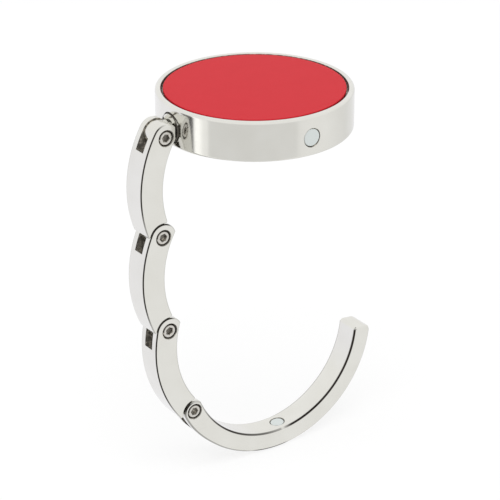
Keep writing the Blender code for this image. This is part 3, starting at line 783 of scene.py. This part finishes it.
class PURSEHOOK_OT_case(bpy.types.Operator):
    """Makes the disc's plated case with its lip, rim, seat and magnet pocket"""

    bl_idname = "purse_hook.case"
    bl_label = "Disc Case"

    def execute(self, context):
        sizes = context.scene.purse_hook_sizes
        top, bottom = case_high.z, case_low.z
        recess = disc_radius - sizes.lip_width
        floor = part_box("inlay_adhesive")[0].z - SEAT_GAP
        rim, lip = sizes.rim_round, LIP_ROUND
        wall = disc_radius - CASE_WALL
        ledge = plate_high.z + SEAT_GAP
        under = plate_high.y + SIDE_GAP
        profile = [[0.0, floor], [recess - FOOT_CUT, floor], [recess, floor + FOOT_CUT]]
        profile += fillet((recess + lip, top - lip), lip, math.pi, QUARTER)
        profile += fillet((disc_radius - rim, top - rim), rim, QUARTER, 0.0, 8)
        profile += fillet((disc_radius - rim, bottom + rim), rim, 0.0, -QUARTER, 8)
        profile += [[under + MOUTH, bottom], [under, bottom + MOUTH], [under, ledge]]
        profile += [[wall, ledge], [wall, floor - TOP_WEB], [0.0, floor - TOP_WEB]]
        case = new_object("disc_case_shown", turned(profile, RIM_SIDES), "nickel")
        # The lip's inner wall and the floor under the inlay take the recess's colour, painted
        # shade in the groove.
        groove = recess + lip / 3
        resurface(case, "recess", lambda x, y, z: (z < top - lip / 2) & (np.hypot(x, y) < groove))
        web = floor - TOP_WEB / 2
        low = ledge + SEAT_GAP
        # The bosses inside the case take the recess's colour, painted shade.
        boss = new_object("boss", box_shape(
            (CASE_WALL / 2 - disc_radius, washer_low.y - SIDE_GAP, low),
            (washer_low.x - SEAT_GAP, washer_high.y + SIDE_GAP, web),
        ), "recess")
        magnet_bore = magnet_high.x + GLUED_GAP
        boss_half = magnet_bore + BOSS_WALL
        pocket_end = -magnet_high.y - SEAT_GAP
        pocket_boss = new_object("pocket_boss", box_shape(
            (-boss_half, CASE_WALL / 2 - disc_radius, low),
            (boss_half, BOSS_WALL - pocket_end, web),
        ), "recess")
        past, inside = disc_radius + OVER, -washer_low.x - OVER
        seat = lug_high.z - axis_height + SIDE_GAP
        to_lug = along((-1, 0, 0), (0, 0, axis_height))
        carve(case, [
            ("UNION", boss), ("UNION", pocket_boss),
            cut("seat", rod(seat, past, disc_radius - SEAT_DEPTH), SEAT_SIDES, to_lug),
            cut("bearing", rod(STEM_RADIUS + RUNNING_GAP, past, inside), PIN_SIDES, to_lug),
            cut("pocket", [
                [0.0, past], [magnet_bore + MOUTH + OVER, past],
                [magnet_bore, disc_radius - MOUTH], [magnet_bore, pocket_end],
                [0.0, pocket_end],
            ], SEAT_SIDES, along((0, -1, 0), (0, 0, axis_height))),
        ])
        finish_piece(case, "disc", "plated_zinc", "disc_case")
        return {"FINISHED"}


class PURSEHOOK_OT_layers(bpy.types.Operator):
    """Makes the red inlay and the rubber pad, and gives the hidden layers of the disc their
    materials
    """

    bl_idname = "purse_hook.layers"
    bl_label = "Inlay, Pad and Layers"

    def execute(self, context):
        round_disc(
            "top_inlay", inlay_high.x - GLUED_GAP, inlay_low.z, inlay_high.z, INLAY_ROUND,
            RIM_SIDES, "lacquer", "red_coating",
        )
        round_disc(
            "non_slip_pad", pad_high.x, pad_low.z, pad_high.z, PAD_ROUND, PAD_SIDES, "rubber",
            "black_rubber",
        )
        for node, surface in (
            ("inlay_adhesive", "film"), ("pad_adhesive", "film"), ("base_plate", "steel"),
            ("swivel_washer", "steel"), ("swivel_nut", "steel"),
        ):
            materials = frame["nodes"][node].data.materials
            materials.clear()
            materials.append(material(surface))
        return {"FINISHED"}


def magnet_shape(radius, length):
    """A round magnet from its face at zero down to -length, with rounded ends."""
    edge = MAGNET_ROUND
    profile = [[0.0, 0.0], [radius / 2, 0.0]]
    profile += fillet((radius - edge, -edge), edge, QUARTER, 0.0)
    profile += fillet((radius - edge, edge - length), edge, 0.0, -QUARTER)
    return turned(profile + [[0.0, -length]], SCREW_SIDES)


def hook_magnet_frame(chain):
    """At the middle of the arm's circle, +Z away from the arm's magnet."""
    turn = HOOK_MAGNET_TURN
    own = along((math.cos(turn), 0, math.sin(turn)), (chain.pin, 0, 0))
    return link_frame(pins[3], chain.rest[3]) @ own


class PURSEHOOK_OT_magnets(bpy.types.Operator):
    """Makes the magnet in the rim and the one in the arm"""

    bl_idname = "purse_hook.magnets"
    bl_label = "Magnets"

    def execute(self, context):
        chain = Chain(context.scene.purse_hook_sizes)
        length = magnet_high.y - magnet_low.y
        rim_place = along((0, -1, 0), (0, magnet_low.y, axis_height))
        face = Matrix.Translation((0, 0, -chain.inner - SEAT_GAP / 5))
        for node, radius, body, place in (
            ("rim_magnet", magnet_high.x, "disc", rim_place),
            ("hook_magnet", hook_magnet_radius, "hook", hook_magnet_frame(chain) @ face),
        ):
            magnet = new_object(node + "_shown", magnet_shape(radius, length), "magnet", place)
            finish_piece(magnet, body, "magnet_nickel", node)
        return {"FINISHED"}


class PURSEHOOK_OT_lug(bpy.types.Operator):
    """Makes the swivel lug with its flange, stem and eye"""

    bl_idname = "purse_hook.lug"
    bl_label = "Swivel Lug"

    def execute(self, context):
        chain = Chain(context.scene.purse_hook_sizes)
        x, z = pins[0][0], pins[0][2]
        front = -(x + chain.inset + FLANGE_CLEARANCE)
        back, end = -swivel_place[0], -lug_high.x
        stem, radius = STEM_RADIUS, lug_high.z - axis_height
        edge = FLANGE_ROUND
        profile = [[0.0, front], [radius * FLANGE_MIDDLE, front]]
        profile += fillet((radius - edge, front - edge), edge, QUARTER, 0.0)
        profile += [[radius, back + MOUTH], [radius - MOUTH, back], [stem, back]]
        profile += [[stem, end + END_CUT], [stem - END_CUT, end], [0.0, end]]
        flange = new_object(
            "lug_flange_shown", turned(profile, SEAT_SIDES), "nickel",
            along((-1, 0, 0), (0, 0, axis_height)),
        )
        # The flange is bright only on its upper rim and inside the edge of its face. Below that,
        # on its back and round the edge of its face, it is painted dark as shade.
        shaded = axis_height + radius * FLANGE_BRIGHT
        resurface(flange, "painted_shade", lambda x, y, z: (
            (z < shaded) | (x > -back - MOUTH)
            | (x < -front + 2 * MOUTH) & (np.hypot(y, z - axis_height) > radius - 2 * MOUTH)
        ))
        finish_piece(flange, "swivel", "plated_zinc", "swivel_lug")
        eye = chain.about(0.0, chain.tongue, *EYE_TURNS)
        inside = (chain.inset + FLANGE_CLEARANCE - back - x) / 2
        outline = np.concatenate(([[inside, EYE_TOP]], eye, [[inside, EYE_FOOT]]))
        place = Matrix.Translation((x, 0, z))
        tongue = new_object(
            "lug_eye_shown", slab(outline, chain.tongue_half, EYE_ROUND, 3), "nickel", place
        )
        carve(tongue, [pin_bore(place)])
        finish_piece(tongue, "swivel", "plated_zinc")
        return {"FINISHED"}


def pin_bore(place):
    """A step for carve: the plain bore of a pin along Y at the place's origin."""
    profile = rod(PIN_RADIUS + RUNNING_GAP, half_width, -half_width)
    return cut("bore", profile, PIN_SIDES, place @ along((0, 1, 0), (0, 0, 0)))


def paint_edge_reflection(obj, place, chain, rounding, outer_line, inner_line):
    """Writes how far each point lies in the painted dark reflection along the edges, from 0 to 1.

    The line lies on the rounding, next to the flat side. It is a function of the depth below the
    flat side over the rounding, times another of the turn along the ring from the upper pin. The
    two lines are pairs of lists, of degrees and shares, for the outer and the inner edge.
    """
    points = values(obj.data.vertices, "co", 3)
    local = np.c_[points, np.ones(len(points))] @ np.array(place.inverted()).T
    weight = np.interp((half_width - np.abs(points[:, 1])) / rounding, *LINE_PROFILE)
    ring = np.hypot(local[:, 0] - chain.pin, local[:, 2])
    turn = np.degrees(np.arctan2(-local[:, 2], chain.pin - local[:, 0]))
    thickness = chain.sizes.arm_thickness
    middle = chain.inner + thickness / 2
    outer = np.clip((ring - middle) / thickness * 4 + 0.5, 0.0, 1.0)
    weight *= outer * np.interp(turn, *outer_line) + (1 - outer) * np.interp(turn, *inner_line)
    layer = obj.data.attributes.new("dark_reflection_line", "FLOAT", "POINT")
    layer.data.foreach_set("value", weight.astype(np.float32))


def fork_cuts(name, place, sizes):
    """The slot and the stepped bore of a screw, which cut a link at its upper pin."""
    half, reach = sizes.slot_width / 2, sizes.link_thickness
    # The slot's cutter leaves the recess's colour, painted shade, on the slot's walls.
    slot = new_object(
        name + "_slot", box_shape((-reach, -half, -sizes.slot_depth), (reach, half, reach)),
        "recess", place,
    )
    head, side = head_radius + SIDE_GAP, half_width
    near, far = PIN_RADIUS + RUNNING_GAP, PIN_RADIUS + RUNNING_GAP / 2
    return [("DIFFERENCE", slot), cut(name + "_bore", [
        [0.0, side + OVER], [head + MOUTH + OVER, side + OVER], [head + MOUTH, side],
        [head, side - MOUTH], [head, side - SEAT_OF_HEAD], [near, side - SEAT_OF_HEAD],
        [near, 0.0], [far, 0.0], [far, MOUTH - side], [far + MOUTH, -side],
        [far + MOUTH + OVER, -side - OVER], [0.0, -side - OVER],
    ], SCREW_SIDES, place @ along((0, -1, 0), (0, 0, 0)))]


class PURSEHOOK_OT_links(bpy.types.Operator):
    """Makes the three curved links of the chain, each with its tongue"""

    bl_idname = "purse_hook.links"
    bl_label = "Links"

    def execute(self, context):
        sizes = context.scene.purse_hook_sizes
        chain = Chain(sizes)
        x, z = chain.at(chain.pin, chain.turn)
        low_pin = Matrix.Translation((x, 0, z))
        onto_link = (chain.shoulder, chain.tongue)
        onto_arm = (chain.arm_shoulder, chain.arm_tongue)
        # Each link's body, the radii of its shoulder and its tongue's end, the turns of its horn,
        # flat and nose, and how dark its outer painted reflection line starts.
        for k, (body, (shoulder, end), stop, flat, nose, top_line) in enumerate((
            ("upper", onto_link, folds[1], -chain.rest[0], 0.0, 0.0),
            ("middle", onto_link, folds[2], 0.0, 0.0, 1.0),
            ("lower", onto_arm, 0.0, 0.0, folds[3], 1.0),
        )):
            name = "link_" + body
            place = link_frame(pins[k], chain.rest[k])
            outline = soften(chain.link(shoulder, stop, flat), sizes.corner_round)
            link = new_object(
                name + "_shown", slab(outline, half_width, sizes.edge_round), "nickel", place
            )
            carve(link, fork_cuts(name, place, sizes))
            below, depth = pins[k + 1], half_width - sizes.edge_round
            # The hollow round the next link's ear takes the recess's colour, painted shade in the
            # gap.
            resurface(link, "recess", lambda x, y, z: (
                (np.hypot(x - below[0], z - below[2]) < shoulder + SEAT_GAP) & (abs(y) < depth)
            ))
            outer_line = LINK_OUTER_TURNS, [top_line, *LINK_OUTER_LEVELS]
            paint_edge_reflection(link, place, chain, sizes.edge_round, outer_line, LINK_INNER_LINE)
            finish_piece(link, body, "plated_zinc", name)
            tongue = new_object(
                name + "_tongue_shown",
                slab(
                    chain.tongue_line(end, shoulder, nose), chain.tongue_half, TONGUE_ROUND, 3
                ),
                "nickel", place,
            )
            carve(tongue, [pin_bore(place @ low_pin)])
            finish_piece(tongue, body, "plated_zinc")
        return {"FINISHED"}


class PURSEHOOK_OT_arm(bpy.types.Operator):
    """Makes the hook arm with its fork, flat tip and magnet pocket"""

    bl_idname = "purse_hook.arm"
    bl_label = "Hook Arm"

    def execute(self, context):
        sizes = context.scene.purse_hook_sizes
        chain = Chain(sizes)
        place = link_frame(pins[3], chain.rest[3])
        outline = soften(chain.arm(), sizes.corner_round * ARM_CORNER)
        rounding = sizes.edge_round * ARM_EDGE
        arm = new_object("hook_arm_shown", slab(outline, half_width, rounding), "nickel", place)
        bore, face = hook_magnet_radius + GLUED_GAP, -chain.inner
        floor = face - (magnet_high.y - magnet_low.y) - 2 * SEAT_GAP
        carve(arm, [*fork_cuts("hook_arm", place, sizes), cut("pocket", [
            [0.0, face + OVER], [bore + OVER, face + OVER], [bore + MOUTH / 2, face],
            [bore, face - MOUTH / 2], [bore, floor], [0.0, floor],
        ], SEAT_SIDES, hook_magnet_frame(chain))])
        paint_edge_reflection(arm, place, chain, rounding, ARM_OUTER_LINE, ARM_INNER_LINE)
        finish_piece(arm, "hook", "plated_zinc", "hook_arm")
        return {"FINISHED"}


class PURSEHOOK_OT_screws(bpy.types.Operator):
    """Makes the four hinge screws with their hexagon sockets"""

    bl_idname = "purse_hook.screws"
    bl_label = "Hinge Screws"

    def execute(self, context):
        head, edge, shank = head_radius, HEAD_ROUND, PIN_RADIUS
        top, tip = -screw_low.y, -screw_high.y
        profile = [[0.0, top - MOUTH], [head * HEAD_DISH, top]]
        profile += fillet((head - edge, top - edge), edge, QUARTER, 0.0, 5)
        profile += [[head, top - HEAD_LENGTH], [shank, top - HEAD_LENGTH]]
        profile += [[shank, tip + END_CUT], [shank - END_CUT, tip], [0.0, tip]]
        corner = SOCKET_WIDTH / 2 / math.cos(math.pi / 6)
        for k, body in enumerate(("upper", "middle", "lower", "hook")):
            node = f"hinge_screw_{k + 1}"
            place = along((0, -1, 0), pins[k].tolist())
            screw = new_object(node + "_shown", turned(profile, SCREW_SIDES), "steel", place)
            # Each socket stopped at another turn when its screw was driven home.
            turn = Matrix.Rotation(math.radians(17.0 + 23.0 * k), 4, "Z")
            carve(screw, [cut("socket", [
                [0.0, top + OVER], [corner + MOUTH + OVER, top + OVER],
                [corner, top - MOUTH], [corner, top - SOCKET_DEPTH],
                [0.0, top - SOCKET_DEPTH - 2 * MOUTH],
            ], 6, place @ turn)])
            # The head's rounded edge is painted dark as shade, apart from a stretch low on its -X
            # side, which is left bright as the lit side.
            x0, z0 = pins[k][0], pins[k][2]
            resurface(screw, "painted_shade", lambda x, y, z: (
                (np.hypot(x - x0, z - z0) > head - 2 * MOUTH)
                & (0.6 * (x - x0) + 0.8 * (z - z0) > -0.55 * head)
            ))
            finish_piece(screw, body, "plated_steel", node)
        return {"FINISHED"}


def camera_axes(stage):
    """The camera's right, up and back directions, from its azimuth, elevation and roll."""
    a, e, r = stage.azimuth, stage.elevation, stage.roll
    back = np.array([math.sin(a) * math.cos(e), -math.cos(a) * math.cos(e), math.sin(e)])
    level = np.array([math.cos(a), math.sin(a), 0.0])
    rise = np.cross(back, level)
    right = math.cos(r) * level + math.sin(r) * rise
    up = math.cos(r) * rise - math.sin(r) * level
    return right, up, back


def stops(node, pairs):
    """Sets a colour ramp's places and colours."""
    ramp = node.color_ramp.elements
    while len(ramp) < len(pairs):
        ramp.new(1.0)
    for element, (place, shade) in zip(ramp, pairs):
        element.position = place
        element.color = shade
    return node


def by_ray(tree, seen, mirrored, lit):
    """One shader for the camera, one for reflections and what glass shows, one for light."""
    path = add(tree, "LightPath")
    mirror = add(tree, "Math", {
        0: path.outputs["Is Glossy Ray"], 1: path.outputs["Is Transmission Ray"],
    }, operation="MAXIMUM")
    unseen = add(tree, "MixShader", {0: mirror, 1: lit, 2: mirrored})
    return add(tree, "MixShader", {0: path.outputs["Is Camera Ray"], 1: unseen, 2: seen})


class PURSEHOOK_OT_stage(bpy.types.Operator):
    """Makes the pale floor, the soft light and the camera"""

    bl_idname = "purse_hook.stage"
    bl_label = "Floor, Light and Camera"

    def execute(self, context):
        scene = context.scene
        stage = scene.purse_hook_stage
        right, up, back = camera_axes(stage)
        place = (
            np.array([0.0, 0.0, case_high.z])
            - right * stage.right - up * stage.above + back * stage.distance
        )
        data = bpy.data.cameras.new("camera")
        data.sensor_width, data.lens = 36.0, stage.lens
        data.clip_start, data.clip_end = 0.01, 10.0
        camera = bpy.data.objects.new("camera", data)
        camera.matrix_world = Matrix(
            [[right[k], up[k], back[k], place[k]] for k in range(3)] + [[0.0, 0.0, 0.0, 1.0]]
        )
        scene.collection.objects.link(camera)
        scene.camera = camera

        paper = bpy.data.materials.new("white_paper_floor")
        tree = empty_tree(paper)
        matt = add(tree, "BsdfDiffuse", {"Color": WHITE})
        white = add(tree, "Emission", {"Strength": 1.0})
        seen = add(tree, "MixShader", {0: PAPER_WHITE, 1: matt, 2: white})
        whole = by_ray(tree, seen, add(tree, "BsdfTransparent"), matt)
        add(tree, "OutputMaterial", {"Surface": whole})
        mesh = bpy.data.meshes.new("floor")
        side, ground = FLOOR_HALF, arm_low.z - FLOOR_GAP
        mesh.from_pydata([
            (-side, -side, ground), (side, -side, ground), (side, side, ground),
            (-side, side, ground),
        ], [], [(0, 1, 2, 3)])
        mesh.materials.append(paper)
        floor = bpy.data.objects.new("floor", mesh)
        scene.collection.objects.link(floor)

        data = bpy.data.lights.new("key_light", "AREA")
        data.shape, data.size, data.energy = "DISK", LAMP_SIZE, stage.key_power
        lamp = bpy.data.objects.new("key_light", data)
        lamp.location = LAMP_PLACE
        lamp.rotation_euler = (LAMP_TARGET - LAMP_PLACE).to_track_quat("-Z", "Y").to_euler()
        lamp.visible_glossy = False
        scene.collection.objects.link(lamp)

        world = bpy.data.worlds.new("light_tent")
        tree = empty_tree(world)
        look = add(tree, "TexCoord").outputs["Generated"]
        turned_look = add(tree, "Mapping", {
            "Vector": look, "Rotation": (0.0, 0.0, QUARTER - stage.azimuth),
        })
        around = add(tree, "TexGradient", {"Vector": turned_look}, gradient_type="RADIAL")
        walls = stops(add(tree, "ValToRGB", {"Fac": around.outputs["Fac"]}), [
            (0.5 + turn / 360, (level, level, level * blue, 1.0))
            for turn, level, blue in TENT_WALLS
        ])
        height = add(tree, "SeparateXYZ", {"Vector": look}).outputs["Z"]
        raised = add(tree, "MapRange", {
            "Value": height, "From Min": ROOF_FROM, "From Max": ROOF_TO,
        })
        tent = add(tree, "Mix", {
            "Factor": raised, "A": walls, "B": TENT_ROOF,
        }, data_type="RGBA")
        whole = by_ray(
            tree, add(tree, "Background", {"Color": WHITE}),
            add(tree, "Background", {"Color": tent}),
            add(tree, "Background", {"Color": WHITE, "Strength": stage.ambient}),
        )
        add(tree, "OutputWorld", {"Surface": whole})
        scene.world = world
        scene.view_settings.view_transform = "Standard"
        return {"FINISHED"}


class PURSEHOOK_PT_panel(bpy.types.Panel):
    """Lists the pieces of the purse hook in the sidebar"""

    bl_label = "Purse Hook"
    bl_idname = "PURSEHOOK_PT_panel"
    bl_space_type = "VIEW_3D"
    bl_region_type = "UI"
    bl_category = "Purse Hook"

    def draw(self, context):
        for operator in OPERATORS:
            self.layout.operator(operator.bl_idname)
        for group in GROUPS:
            settings = getattr(context.scene, group)
            for name in settings.bl_rna.properties.keys():
                if name not in {"rna_type", "name"}:
                    self.layout.prop(settings, name)


GROUPS = {
    "purse_hook_sizes": HookSizes,
    "purse_hook_finish": HookFinish,
    "purse_hook_stage": HookStage,
}
OPERATORS = (
    PURSEHOOK_OT_case,
    PURSEHOOK_OT_layers,
    PURSEHOOK_OT_magnets,
    PURSEHOOK_OT_lug,
    PURSEHOOK_OT_links,
    PURSEHOOK_OT_arm,
    PURSEHOOK_OT_screws,
    PURSEHOOK_OT_stage,
)


def register():
    for name, group in GROUPS.items():
        bpy.utils.register_class(group)
        setattr(bpy.types.Scene, name, bpy.props.PointerProperty(type=group))
    for item in (*OPERATORS, PURSEHOOK_PT_panel):
        bpy.utils.register_class(item)


def unregister():
    for item in (PURSEHOOK_PT_panel, *reversed(OPERATORS)):
        bpy.utils.unregister_class(item)
    for name, group in GROUPS.items():
        delattr(bpy.types.Scene, name)
        bpy.utils.unregister_class(group)


def main():
    register()
    for operator in OPERATORS:
        family, name = operator.bl_idname.split(".")
        getattr(getattr(bpy.ops, family), name)()


if __name__ == "__main__":
    main()
